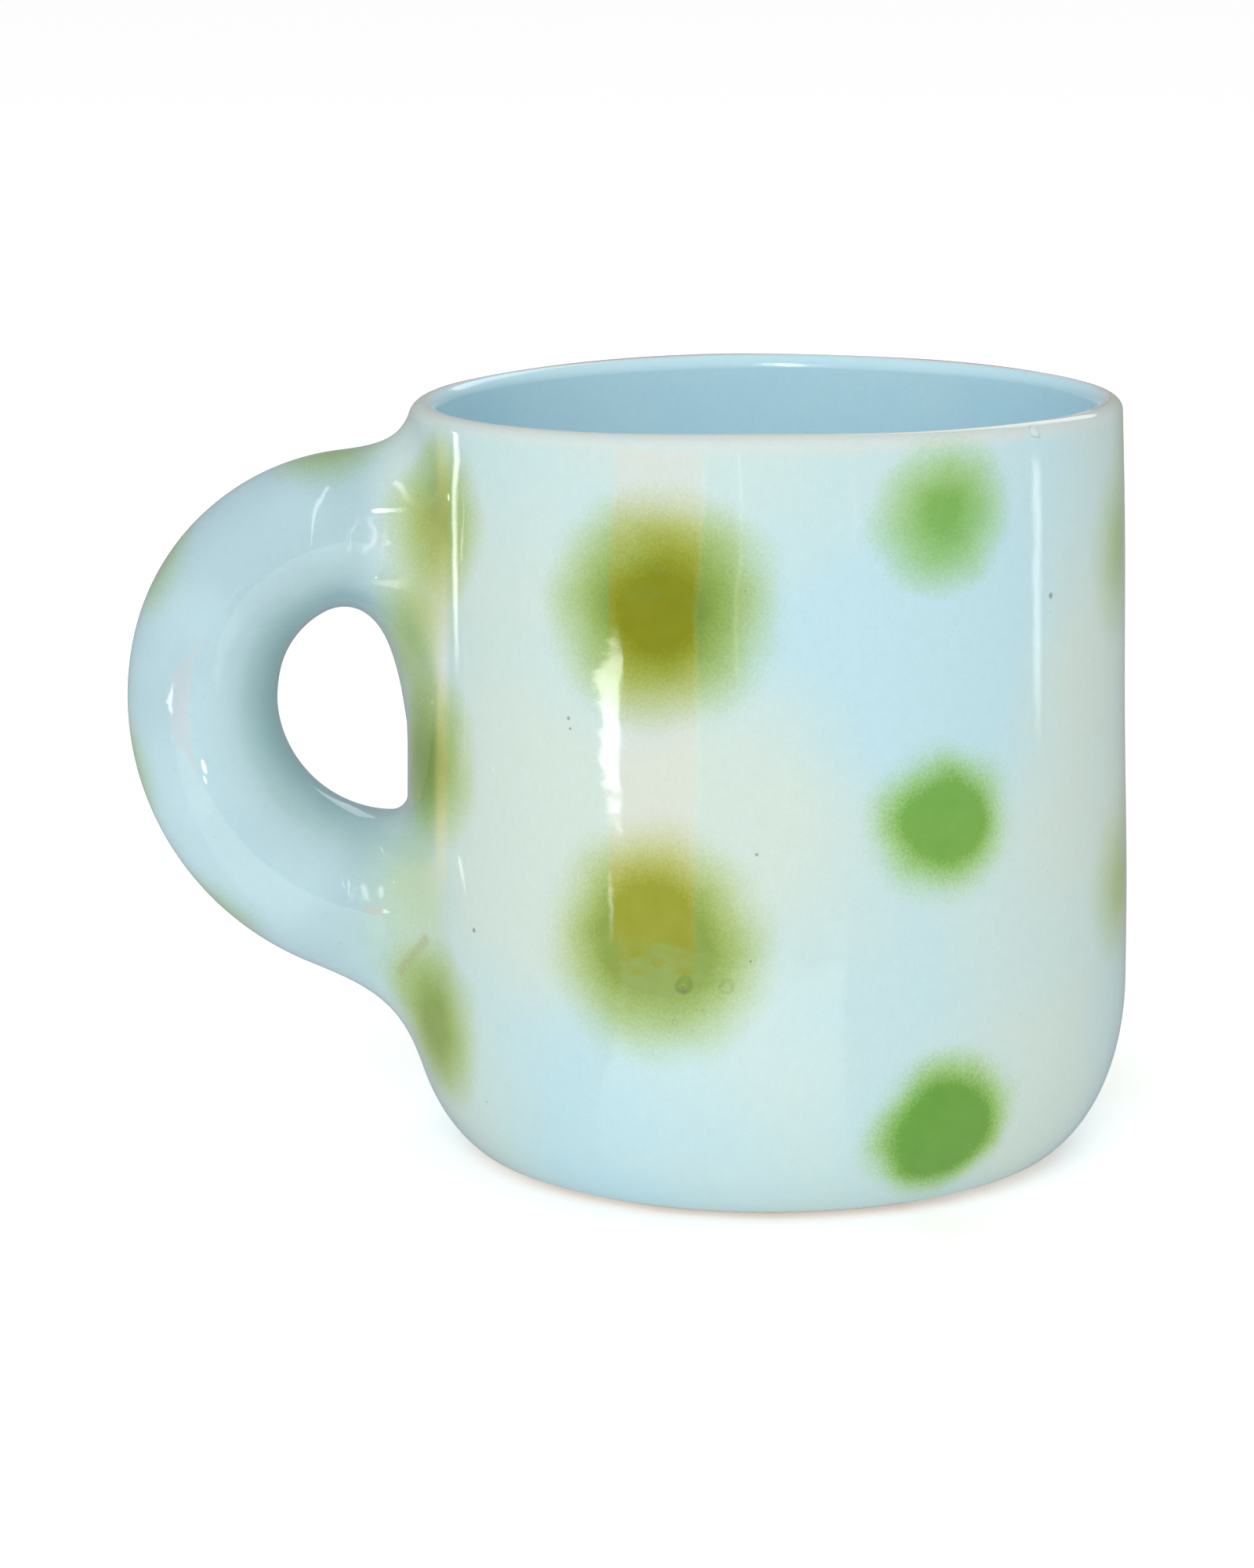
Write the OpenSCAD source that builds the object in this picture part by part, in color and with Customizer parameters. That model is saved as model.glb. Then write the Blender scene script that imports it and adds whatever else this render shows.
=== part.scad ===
// Stoneware mug with a fat ring handle, built as it is made: a thrown vessel, a rolled handle
// stuck on with slip, two clay collars worked over the seams, and glazes inside and out.
// The mug stands on z = 0 with its axis on +Z, and its handle points along -X.
// Outside sizes are over the glaze.

/* [Vessel] */
// Largest outside diameter
body_d = 90; // [84:1:96]
// Outside diameter just under the lip
rim_d = 87; // [82:1:90]
// Height to the top of the lip
body_h = 94; // [92:1:104]
// Wall thickness with both glazes
wall_t = 3.5; // [3:0.1:4.5]
// Height of the inside floor, without its glaze
floor_z = 6.2; // [5:0.1:8]
// Height of the rounded corner between base and wall
corner_h = 21; // [18:1:24]
// Width of the rounded corner inside, where floor turns into wall
inner_corner_w = 15; // [10:1:20]
// Height of that inside corner
inner_corner_h = 19; // [14:1:24]

/* [Foot] */
// Outside diameter of the foot ring where it touches the table
foot_d = 66; // [60:1:72]
// Width of the foot ring's flat
foot_w = 5; // [3:0.5:8]
// Depth of the recess under the base
recess_h = 1.2; // [0.6:0.1:2]
// Height above the table where the outside glaze stops
glaze_line_z = 1.5; // [1:0.1:4]

/* [Glaze] */
// Thickness of each glaze coat
glaze_t = 0.4; // [0.3:0.05:0.5]

/* [Handle] */
// Distance from the mug's axis to the handle's outermost point
handle_reach = 78.8; // [76:1:84]
// Height of that outermost point
handle_z = 56.5; // [54:0.5:60]
// Outside bend radius of the handle's lower part
lower_bend = 36; // [34:0.1:38]
// Outside bend radius of the handle's upper part
upper_bend = 29.7; // [28:0.1:31]
// Angle above the horizontal at which the two bends meet
bend_join = 13; // [5:1:20]
// Half the thickness of the handle at its outermost point
grip_r = 9.2; // [8:0.1:10]
// Half the thickness of the upper arm at the wall
upper_root_r = 9.4; // [8:0.1:11]
// Half the thickness of the lower arm at the wall
lower_root_r = 10.9; // [9:0.1:12]

/* [Joints] */
// Thickness of the slip between the handle's ends and the wall
slip_t = 0.5; // [0.3:0.1:0.8]
// Thinnest feather edge of a collar
feather_t = 0.12; // [0.1:0.01:0.2]

/* [Hidden] */

// A flare is [outer, inner, side], seen along the bend, and each is [rise at the wall, reach from it].
UPPER_FLARE = [[4.2, 6.5], [16, 10], [6, 6.5]];
LOWER_FLARE = [[11, 9.5], [1.5, 1.6], [7, 7.5]];
root_growth = 1.5;   // how late the handle starts to thicken towards its ends
wall_power = 1.25;   // how late the wall starts to lean in above the corner
ring_sides = 24;     // points round the handle
ring_step = 3.5;     // degrees of bend from one ring to the next
corner_steps = 14;
wall_steps = 6;
lip_step = 15;       // degrees
cap_shares = [0.85, 0.65, 0.4, 0.2];   // rings of a handle end, as shares of its outline
seat_shares = [0.75, 0.5, 0.25, 0];    // rings where a collar sits on the wall, as shares of its flare
wall_clear = 0.6;    // where the handle's last ring stands off the glazed wall
root_plug_depth = 12;

foot_r = foot_d / 2;
clay_r_max = body_d / 2 - glaze_t;
clay_r_rim = rim_d / 2 - glaze_t;
clay_wall_t = wall_t - 2 * glaze_t;
lip_r = clay_wall_t / 2;
lip_z = body_h - glaze_t - lip_r;
corner_w = clay_r_max - foot_r;
line_angle = acos(1 - glaze_line_z / corner_h);
handle_end_s = body_d / 2 + wall_clear;
lower_centre = [handle_reach - lower_bend, handle_z];
upper_centre = lower_centre + (lower_bend - upper_bend) * [cos(bend_join), sin(bend_join)];
upper_end = acos((handle_end_s - upper_centre.x) / (upper_bend - upper_root_r));
lower_end = -acos((handle_end_s - lower_centre.x) / (lower_bend - lower_root_r));

function flat_list(lists) = [for (l = lists) each l];
function backwards(l) = [for (i = [len(l) - 1:-1:0]) l[i]];
function along(t) = [cos(t), sin(t)];

// ---- Vessel outlines, as [radius, height] points, grown outwards from the clay by g ----

// Radius of the clay's outside at height z
function clay_r(z) =
    z < corner_h ? foot_r + corner_w * sqrt(max(0, 1 - pow(1 - z / corner_h, 2)))
    : clay_r_max - (clay_r_max - clay_r_rim) * pow(min(1, (z - corner_h) / (lip_z - corner_h)), wall_power);

// A point on a quarter ellipse w by h, from its foot (a = 0) to its side (a = 90), moved g outwards
function corner_point(a, w, h, g) =
    let (n = [sin(a) / w, -cos(a) / h]) [w * sin(a), h * (1 - cos(a))] + g * n / norm(n);

// From the glaze line up to the wall
function outer_corner(g) = [
    for (i = [0:corner_steps]) let (a = line_angle + (90 - line_angle) * i / corner_steps)
        [foot_r, 0] + corner_point(a, corner_w, corner_h, g)];

// From the foot up to the glaze line
function bare_corner() = [
    for (a = [0:line_angle / 3:line_angle - 1]) [foot_r, 0] + corner_point(a, corner_w, corner_h, 0)];

function outer_side(g) = concat(
    outer_corner(g),
    [for (i = [1:wall_steps]) let (z = corner_h + (lip_z - corner_h) * i / wall_steps) [clay_r(z) + g, z]]);

// The round of the lip between two angles, without its two lowest points
function lip_arc(g, from, to) = [
    for (a = [from:lip_step:to]) if (a > 0 && a < 180)
        [clay_r_rim - lip_r, lip_z] + (lip_r + g) * along(a)];

// The inside, from the middle of the floor to the top of the wall, moved g into the hollow
function inner_side(g) = concat(
    [[0, floor_z + g]],
    [for (i = [0:corner_steps]) let (a = 90 * i / corner_steps)
        [clay_r_max - clay_wall_t - inner_corner_w, floor_z]
        + corner_point(a, inner_corner_w, inner_corner_h, -g)],
    [for (i = [1:wall_steps])
        let (low = floor_z + inner_corner_h, z = low + (lip_z - low) * i / wall_steps)
        [clay_r(z) - clay_wall_t - g, z]]);

// ---- Handle rings: the handle's plane has s outwards from the axis, and y across it ----

// Half the handle's thickness at bend angle t, over the glaze
function half_thickness(t) =
    t < 0 ? grip_r + (lower_root_r - grip_r) * pow(t / lower_end, root_growth)
    : grip_r + (upper_root_r - grip_r) * pow(t / upper_end, root_growth);

function ring_centre(t) =
    t < bend_join ? lower_centre + (lower_bend - half_thickness(t)) * along(t)
    : upper_centre + (upper_bend - half_thickness(t)) * along(t);

// How far the flare stands proud of the handle in direction a, at distance u from the clay wall.
// It is a parabola that leaves the wall and the handle along their own surfaces.
function flare(t, a, u) =
    let (f = t > 0 ? UPPER_FLARE : LOWER_FLARE,
         w = pow(cos(a), 2),
         v = f[2] * (1 - w) + (cos(a) > 0 ? f[0] : f[1]) * w)
    v[0] * pow(max(0, 1 - sqrt(max(0, u) / v[1])), 2);

// Rings stand square to the bend, and turn upright towards the wall
function lean(t) =
    let (end = t < 0 ? lower_end : upper_end, upright = t < 0 ? -90 : 90)
    t + (upright - end) * pow(t / end, 6);

function wall_gap(t) = let (c = ring_centre(t)) c[0] - clay_r(c[1]);

// One ring in the part's frame. depth is how far it lies under the glazed handle, and share
// says how much of the flare it has. at_wall puts it on the clay wall, moved g outwards.
function ring(t, depth, share, scale = 1, at_wall = false, g = 0) = [
    for (i = [0:ring_sides - 1])
        let (a = 360 * i / ring_sides,
             plain_r = half_thickness(t) - depth,
             plain = ring_centre(t) + plain_r * cos(a) * along(lean(t)),
             gap = plain[0] - sqrt(pow(clay_r(plain[1]), 2) - pow(plain_r * sin(a), 2)),
             r = (plain_r + share * flare(t, a, at_wall ? 0 : gap)) * scale,
             p = ring_centre(t) + r * cos(a) * along(lean(t)),
             y = r * sin(a),
             s = at_wall ? sqrt(pow(clay_r(p[1]) + g, 2) - y * y) : p[0])
        [-s, y, p[1]]];

function between(from, to) =
    let (n = ceil(abs(to - from) / ring_step)) [for (i = [0:n]) from + (to - from) * i / n];

function collared(t) = wall_gap(t) < (t > 0 ? UPPER_FLARE[1][1] : LOWER_FLARE[0][1]);

// Rings run from the handle's upper end to its lower end
ALL_ANGLES = concat(
    between(upper_end, bend_join),
    [for (t = between(bend_join, lower_end)) if (t < bend_join) t]);
UPPER_ANGLES = [for (t = ALL_ANGLES) if (t > 0 && collared(t)) t];
LOWER_ANGLES = [for (t = ALL_ANGLES) if (t < 0 && collared(t)) t];

function plain_rings(angles) = [for (t = angles) ring(t, glaze_t, 0)];

// A clay ring under the glaze, with the collar over it where there is one
function clay_ring(t) =
    let (over = ring(t, glaze_t, 1), thin = ring(t, glaze_t - feather_t, 0),
         c = ring_centre(t), middle = [-c[0], 0, c[1]])
    !collared(t) ? ring(t, glaze_t, 0)
    : [for (i = [0:ring_sides - 1]) norm(over[i] - middle) > norm(thin[i] - middle) ? over[i] : thin[i]];

// ---- Solids from rings ----

// Two triangles for each side of the bands between rings. The bands from turn on run back over
// the same handle, so their quads are cut along the same diagonals as those of the bands before.
function side_faces(bands, rings, turn) = [
    for (j = [0:bands - 1], i = [0:ring_sides - 1])
        let (a = j * ring_sides, b = ((j + 1) % rings) * ring_sides, k = (i + 1) % ring_sides)
        each (j < turn ? [[a + i, b + i, b + k], [a + i, b + k, a + k]]
            : [[a + i, b + i, a + k], [b + i, b + k, a + k]])];

// A sleeve with a wall: its outer rings from the upper end down, then its inner rings back up
module sleeve(outer, inner) {
    rings = concat(outer, inner);
    polyhedron(flat_list(rings), side_faces(len(rings), len(rings), len(outer) - 1), convexity = 8);
}

// Rings closed at both ends by a point
module plugged(rings, first, last) {
    n = len(rings) * ring_sides;
    top = len(rings) - 1;
    last_ring = top * ring_sides;
    polyhedron(
        concat(flat_list(rings), [first, last]),
        concat(
            side_faces(top, len(rings), top),
            [for (i = [0:ring_sides - 1]) [n, i, (i + 1) % ring_sides]],
            [for (i = [0:ring_sides - 1]) [n + 1, last_ring + (i + 1) % ring_sides, last_ring + i]]),
        convexity = 8);
}

// The outline of a handle root, as a bar along X that passes right through the wall
module root_bar(t, depth, share) {
    outline = [for (p = ring(t, depth, share, at_wall = true)) [p[1], p[2]]];
    translate([-body_d / 2 - wall_clear, 0, 0]) rotate([90, 0, 90])
        linear_extrude(root_plug_depth) polygon(outline);
}

// ---- Sub-parts ----

module clay_body() {
    color("linen") rotate_extrude($fn = 180) polygon(concat(
        [[0, recess_h], [foot_r - foot_w - recess_h, recess_h], [foot_r - foot_w, 0]],
        bare_corner(),
        outer_side(0),
        lip_arc(0, 0, 180),
        backwards(inner_side(0))));
}

module handle() {
    cap = function (t) [for (k = concat([1], cap_shares)) ring(t, glaze_t, 0, k, true, slip_t)];
    middle = function (t) let (z = ring_centre(t)[1]) [-clay_r(z) - slip_t, 0, z];
    color("antiquewhite") plugged(
        concat(backwards(cap(upper_end)), plain_rings(ALL_ANGLES), cap(lower_end)),
        middle(upper_end), middle(lower_end));
}

module slip_seam(t) {
    z = ring_centre(t)[1];
    half = half_thickness(t) + 1;
    levels = [for (i = [-wall_steps:wall_steps]) z + half * i / wall_steps];
    intersection() {
        root_bar(t, glaze_t, 0);
        rotate_extrude($fn = 180) polygon(concat(
            [for (l = levels) [clay_r(l) + slip_t, l]],
            [for (l = backwards(levels)) [clay_r(l), l]]));
    }
}

module upper_slip_seam() {
    color("tan") slip_seam(upper_end);
}

module lower_slip_seam() {
    color("tan") slip_seam(lower_end);
}

function clay_rings(angles) = [for (t = angles) clay_ring(t)];

// The edge of a collar on the wall
function flare_edge(t) = [ring(t, glaze_t, 1, 1, true)];

// The wall under a collar, from near its edge in to the slip, and out over the slip's rim
function seat(t) = concat(
    [for (share = seat_shares) ring(t, glaze_t, share, 1, true)],
    [ring(t, glaze_t, 0, 1, true, slip_t)]);

module upper_collar() {
    color("wheat") sleeve(
        concat(flare_edge(upper_end), clay_rings(UPPER_ANGLES)),
        concat(backwards(plain_rings(UPPER_ANGLES)), backwards(seat(upper_end))));
}

module lower_collar() {
    color("wheat") sleeve(
        concat(clay_rings(LOWER_ANGLES), flare_edge(lower_end)),
        concat(seat(lower_end), backwards(plain_rings(LOWER_ANGLES))));
}

module outer_glaze() {
    color("lightblue") difference() {
        rotate_extrude($fn = 180) polygon(concat(
            outer_side(glaze_t),
            lip_arc(glaze_t, 0, 90),
            backwards(lip_arc(0, 0, 90)),
            backwards(outer_side(0))));
        root_bar(upper_end, 0, 1);
        root_bar(lower_end, 0, 1);
    }
}

module handle_glaze() {
    glazed_edge = function (t) [ring(t, 0, 1, 1, true, glaze_t)];
    color("lightsteelblue") sleeve(
        concat(glazed_edge(upper_end), [for (t = ALL_ANGLES) ring(t, 0, 1)], glazed_edge(lower_end)),
        concat(flare_edge(lower_end), clay_rings(backwards(ALL_ANGLES)), flare_edge(upper_end)));
}

module liner_glaze() {
    color("skyblue") rotate_extrude($fn = 180) polygon(concat(
        inner_side(glaze_t),
        backwards(lip_arc(glaze_t, 90, 180)),
        lip_arc(0, 90, 180),
        backwards(inner_side(0))));
}

clay_body();
handle();
upper_slip_seam();
lower_slip_seam();
upper_collar();
lower_collar();
outer_glaze();
handle_glaze();
liner_glaze();
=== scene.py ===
import math

import bpy
import numpy as np
from mathutils import Matrix, Vector


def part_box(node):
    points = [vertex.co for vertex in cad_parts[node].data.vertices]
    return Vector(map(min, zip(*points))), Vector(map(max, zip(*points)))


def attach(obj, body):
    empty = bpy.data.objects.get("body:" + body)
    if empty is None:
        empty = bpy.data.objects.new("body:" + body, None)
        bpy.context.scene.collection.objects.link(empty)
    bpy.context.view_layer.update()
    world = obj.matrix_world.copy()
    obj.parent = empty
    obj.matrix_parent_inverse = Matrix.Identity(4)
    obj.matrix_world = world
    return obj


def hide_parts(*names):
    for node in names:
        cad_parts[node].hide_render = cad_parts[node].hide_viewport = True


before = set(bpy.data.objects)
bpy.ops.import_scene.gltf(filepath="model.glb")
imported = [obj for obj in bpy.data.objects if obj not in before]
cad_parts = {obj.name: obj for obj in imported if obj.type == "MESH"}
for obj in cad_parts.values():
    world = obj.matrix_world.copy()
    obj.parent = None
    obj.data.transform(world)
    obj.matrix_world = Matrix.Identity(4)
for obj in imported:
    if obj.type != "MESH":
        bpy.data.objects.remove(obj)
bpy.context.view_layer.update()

# A thrown stoneware mug: spotted glaze outside, pale blue glaze inside, a fat rolled ring handle.
# Shapes are worked out in millimetres and become metres when their mesh is made. The mug's axis
# is Z, its handle points along -X, and turns around the axis are counted from the handle, in
# degrees: 90 faces -Y and 180 is opposite the handle.

MM = 0.001

# ---- Sizes ----

BODY_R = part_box("outer_glaze")[1].y / MM
BODY_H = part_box("outer_glaze")[1].z / MM
REACH = -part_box("handle_glaze")[0].x / MM
FLOOR_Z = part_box("liner_glaze")[0].z / MM
RIM_R = 43.5            # outside, over the glaze
FOOT_R = 33.0
FOOT_W = 5.0
RECESS_H = 1.2
WALL_T = 3.5            # with both glazes
GLAZE_T = 0.4
CORNER_H = 21.0         # height of the round corner between base and wall
INNER_CORNER = (15.0, 19.0)     # width and height of the round corner between floor and wall
GLAZE_LINE_Z = 1.5
BEAD_W = 0.5            # width over which the glaze rounds off at its lower edge
WALL_POWER = 1.25

CLAY_R = BODY_R - GLAZE_T
CLAY_RIM_R = RIM_R - GLAZE_T
CLAY_WALL_T = WALL_T - 2 * GLAZE_T
LIP_R = CLAY_WALL_T / 2
LIP_Z = BODY_H - GLAZE_T - LIP_R
CORNER_W = CLAY_R - FOOT_R

HANDLE_Z = 56.5
LOWER_BEND = 36.0       # outside bend radius of the handle's lower part
UPPER_BEND = 29.7
BEND_JOIN = math.radians(13)
GRIP_R = 9.2            # half the handle's thickness at its outermost point
UPPER_ROOT_R = 9.4
LOWER_ROOT_R = 10.9
ROOT_GROWTH = 1.5

LOWER_CENTRE = np.array([REACH - LOWER_BEND, HANDLE_Z])
UPPER_CENTRE = LOWER_CENTRE + (LOWER_BEND - UPPER_BEND) * np.array([math.cos(BEND_JOIN), math.sin(BEND_JOIN)])
UPPER_END = math.radians(99)
LOWER_END = -math.radians(83)
RUN_ON = 0.3            # bend angle by which each end runs on into the wall
ROOT_DEPTH = 30.0       # distance from the mug's axis within which the handle has no effect

# How far each root's blend runs up the wall and out along the handle: outer, inner and side
UPPER_BLEND = {"wall": (6.6, 17.5, 8.5), "arm": (8.5, 10.5, 8.0)}
LOWER_BLEND = {"wall": (10.5, 1.8, 9.0), "arm": (12.5, 1.8, 8.6)}
BLEND_CHANGE_Z = (46.0, 56.0)   # heights between which the lower root's blend gives way to the upper's


# ---- The glazed outside as a smooth union of the vessel and the handle ----

def clay_radius(z):
    """Radius of the vessel's clay at height z."""
    low = np.clip(1 - z / CORNER_H, 0, 1)
    corner = FOOT_R + CORNER_W * np.sqrt(1 - low ** 2)
    share = np.clip((z - CORNER_H) / (LIP_Z - CORNER_H), 0, 1)
    return np.where(z < CORNER_H, corner, CLAY_R - (CLAY_R - CLAY_RIM_R) * share ** WALL_POWER)


rng = np.random.default_rng(11)
WAVES = [
    (rng.integers(1, 9), rng.uniform(0.02, 0.16), rng.uniform(0, 2 * math.pi), rng.uniform(0.6, 1.0))
    for _ in range(14)
]
CALM_TURN = (0.38, 0.8)     # turns from the handle, in radians, between which the waves begin
WAVE_H = 0.022          # height of each wave left in the wall by the potter's fingers


def smooth(share):
    share = np.clip(share, 0, 1)
    return share * share * (3 - 2 * share)


def rise_between(value, ends):
    """Goes smoothly from 0 at the first end to 1 at the second."""
    return smooth((value - ends[0]) / (ends[1] - ends[0]))


def polar(points):
    """Distance of points from the mug's axis, and their turn from the handle in radians."""
    return np.hypot(points[:, 0], points[:, 1]), np.arctan2(-points[:, 1], -points[:, 0])


def unevenness(turn, z):
    """How far a hand-thrown wall stands out of true. turn is in radians, within half a turn of
    the handle, where the wall was smoothed."""
    swell = np.zeros_like(z)
    for around, up, phase, weight in WAVES:
        swell += WAVE_H * weight * np.sin(around * turn + 2 * math.pi * up * z / 4 + phase)
    return swell * np.clip(z / 12, 0, 1) * rise_between(np.abs(turn), CALM_TURN)


def vessel_distance(p):
    """Distance of points from the vessel's clay, outwards."""
    r, turn = polar(p)
    z = p[:, 2]
    across = (r - FOOT_R) / CORNER_W
    down = np.minimum(z / CORNER_H - 1, 0)
    size = np.hypot(across, down) + 1e-9
    slope = np.hypot(across / CORNER_W, down / CORNER_H) / size
    corner = (size - 1) / np.maximum(slope, 1e-3)
    wall = r - clay_radius(z)
    lip = np.hypot(r - (CLAY_RIM_R - LIP_R), z - LIP_Z) - LIP_R
    return np.where(z > LIP_Z, lip, np.where(z < CORNER_H, corner, wall)) - unevenness(turn, z)


def half_thickness(t):
    """Half the handle's thickness over the glaze, at bend angle t."""
    lower = GRIP_R + (LOWER_ROOT_R - GRIP_R) * np.maximum(t / LOWER_END, 0) ** ROOT_GROWTH
    upper = GRIP_R + (UPPER_ROOT_R - GRIP_R) * np.maximum(t / UPPER_END, 0) ** ROOT_GROWTH
    return np.where(t < 0, lower, upper)


def arm_place(flat, y, centre, bend, low, high):
    """Distance of points from one arm of the handle, and the cosine of the direction round its
    section. Past bend angles low and high the arm runs straight on."""
    arm = flat - centre
    middle = (low + high) / 2
    turn = (np.arctan2(arm[:, 1], arm[:, 0]) - middle + math.pi) % (2 * math.pi) - math.pi
    t = middle + np.clip(turn, low - middle, high - middle)
    h = half_thickness(t)
    out = arm[:, 0] * np.cos(t) + arm[:, 1] * np.sin(t) - (bend - h)
    section = np.hypot(out, y)
    return section - h, out / np.maximum(section, 1e-6)


def handle_place(p):
    """Distance of points from the glazed handle, and the cosine of the direction round it."""
    flat = np.stack([-p[:, 0], p[:, 2]], axis=1)
    upper, upper_cosine = arm_place(flat, p[:, 1], UPPER_CENTRE, UPPER_BEND, BEND_JOIN, UPPER_END + RUN_ON)
    lower, lower_cosine = arm_place(flat, p[:, 1], LOWER_CENTRE, LOWER_BEND, LOWER_END - RUN_ON, BEND_JOIN)
    side = (flat - LOWER_CENTRE) @ np.array([-math.sin(BEND_JOIN), math.cos(BEND_JOIN)])
    above = np.where(flat[:, 0] > UPPER_CENTRE[0], side > 0, upper < lower)
    past_root = np.maximum(ROOT_DEPTH - flat[:, 0], 0)
    return np.where(above, upper, lower) + past_root, np.where(above, upper_cosine, lower_cosine)


def blend_reach(kind, cosine, z):
    """Reach of the blend by where a point lies round the root."""
    square = cosine ** 2
    reaches = []
    for blend in (LOWER_BLEND, UPPER_BLEND):
        outer, inner, side = blend[kind]
        reaches.append(side * (1 - square) + np.where(cosine > 0, outer, inner) * square)
    return reaches[0] + (reaches[1] - reaches[0]) * rise_between(z, BLEND_CHANGE_Z)


def outside(p):
    """Zero on the glazed outside, and positive out of it."""
    handle, cosine = handle_place(p)
    a = (vessel_distance(p) - GLAZE_T) / blend_reach("arm", cosine, p[:, 2])
    b = handle / blend_reach("wall", cosine, p[:, 2])
    near = np.clip(1 - np.abs(a - b), 0, 1)
    return np.minimum(a, b) - near ** 2 / 4


def gradient(p, step=0.02):
    slopes = []
    for axis in range(3):
        shift = np.zeros(3)
        shift[axis] = step
        slopes.append((outside(p + shift) - outside(p - shift)) / (2 * step))
    return np.stack(slopes, axis=1)


def settle_on_surface(p, rounds=6):
    """Moves points onto the glazed outside."""
    for _ in range(rounds):
        slope = gradient(p)
        square = np.maximum((slope ** 2).sum(axis=1), 1e-8)
        move = -(outside(p) / square)[:, None] * slope
        length = np.linalg.norm(move, axis=1, keepdims=True)
        p = p + move * np.minimum(1, 2.0 / np.maximum(length, 1e-9))
    return p


def unit(v):
    return v / np.maximum(np.linalg.norm(v, axis=1, keepdims=True), 1e-12)


# ---- The outside coat's mesh ----

COLUMNS = 240
BEAD_ROWS = (0.0, 0.03, 0.09, 0.18, 0.3, 0.45, 0.7)   # distances from the glaze line
BASE_ROWS = 10          # cells between the glaze line and the lower root
HOLE_ROWS = 32          # wall cells that each handle root takes up, in height and in width
HOLE_COLUMNS = 28
MIDDLE_ROWS = 5         # between the two roots
LIP_ROWS = 10
RING = 2 * (HOLE_ROWS + HOLE_COLUMNS)
ROOT_RINGS = 22         # rings from a hole's edge to where the plain handle begins
ARM_RINGS = 84          # rings along the plain handle
RELAX_ROUNDS = 12
RELAX_SHARE = 0.6       # how far a point goes to its neighbours' middle in a round
ROOT_REGION = (-25.0, 6.0, 92.0)    # wall points are evened out up to this X, between these heights
LOWER_HOLE = (9.5, 46.5)
UPPER_HOLE = (52.0, 91.6)
UPPER_ARM_T = math.radians(74)
LOWER_ARM_T = -math.radians(60)


def outline():
    """The clay's outer outline as points (radius, height) and their outward normals."""
    a = np.radians(np.linspace(0, 90, 400))
    corner = np.stack([FOOT_R + CORNER_W * np.sin(a), CORNER_H * (1 - np.cos(a))], axis=1)
    z = np.linspace(CORNER_H, LIP_Z, 600)[1:]
    wall = np.stack([clay_radius(z), z], axis=1)
    a = np.radians(np.linspace(0, 90, 120))[1:]
    lip = np.stack([CLAY_RIM_R - LIP_R + LIP_R * np.cos(a), LIP_Z + LIP_R * np.sin(a)], axis=1)
    points = np.concatenate([corner, wall, lip])
    along = np.gradient(points, axis=0)
    normals = unit(np.stack([along[:, 1], -along[:, 0]], axis=1))
    return points, normals


def wall_rows():
    """(radius, height) of each row of the coat, from the glaze line to the top of the lip.
    Close rows come first, for the rounded edge."""
    points, normals = outline()
    coat = points + GLAZE_T * normals
    steps = np.linalg.norm(np.diff(coat, axis=0), axis=1)
    length = np.concatenate([[0], np.cumsum(steps)])

    bottom = np.interp(GLAZE_LINE_Z, points[:, 1], length)
    stops = [bottom, *np.interp((*LOWER_HOLE, *UPPER_HOLE, LIP_Z), coat[:, 1], length), length[-1]]
    counts = [BASE_ROWS, HOLE_ROWS, MIDDLE_ROWS, HOLE_ROWS, 1, LIP_ROWS]
    rows = [bottom + step for step in BEAD_ROWS]
    for start, end, count in zip(stops, stops[1:], counts):
        rows.extend(np.linspace(start, end, count + 1)[1:])
    return np.stack([np.interp(rows, length, coat[:, 0]), np.interp(rows, length, coat[:, 1])], axis=1)


def hole_edge(first_row):
    """(row, column) of each grid vertex round a hole, from the middle of its top, over +Y."""
    half = HOLE_COLUMNS // 2
    top = first_row + HOLE_ROWS
    edge = [(top, -c) for c in range(half)]
    edge += [(r, -half) for r in range(top, first_row, -1)]
    edge += [(first_row, c) for c in range(-half, half)]
    edge += [(r, half) for r in range(first_row, top)]
    edge += [(top, c) for c in range(half, 0, -1)]
    return edge


def handle_ring(t):
    """A ring of points round the plain handle at bend angle t, from its outer side, over +Y."""
    centre, bend = (UPPER_CENTRE, UPPER_BEND) if t > BEND_JOIN else (LOWER_CENTRE, LOWER_BEND)
    h = float(half_thickness(np.array(t)))
    a = np.arange(RING) * 2 * math.pi / RING
    s = centre[0] + (bend - h + h * np.cos(a)) * math.cos(t)
    z = centre[1] + (bend - h + h * np.cos(a)) * math.sin(t)
    return np.stack([-s, h * np.sin(a), z], axis=1)


def root_rings(edge, footprint, arm):
    """Rings from a hole's edge over the wall to the root's footprint, and out to the arm."""
    rings = []
    for k in range(1, ROOT_RINGS):
        share = 2 * k / ROOT_RINGS
        start, end = (edge, footprint) if share < 1 else (footprint, arm)
        rings.append(start + (end - start) * (share % 1))
    return rings


def relax(points, quads, free, rounds):
    """Evens out the free points over the surface."""
    pairs = np.concatenate([quads[:, [0, 1]], quads[:, [1, 2]], quads[:, [2, 3]], quads[:, [3, 0]]])
    pairs = np.concatenate([pairs, pairs[:, ::-1]])
    count = np.bincount(pairs[:, 0], minlength=len(points))
    for _ in range(rounds):
        total = np.zeros_like(points)
        np.add.at(total, pairs[:, 0], points[pairs[:, 1]])
        middle = total[free] / count[free, None]
        points[free] += RELAX_SHARE * (middle - points[free])
        points[free] = settle_on_surface(points[free], 3)
    return points


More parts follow.
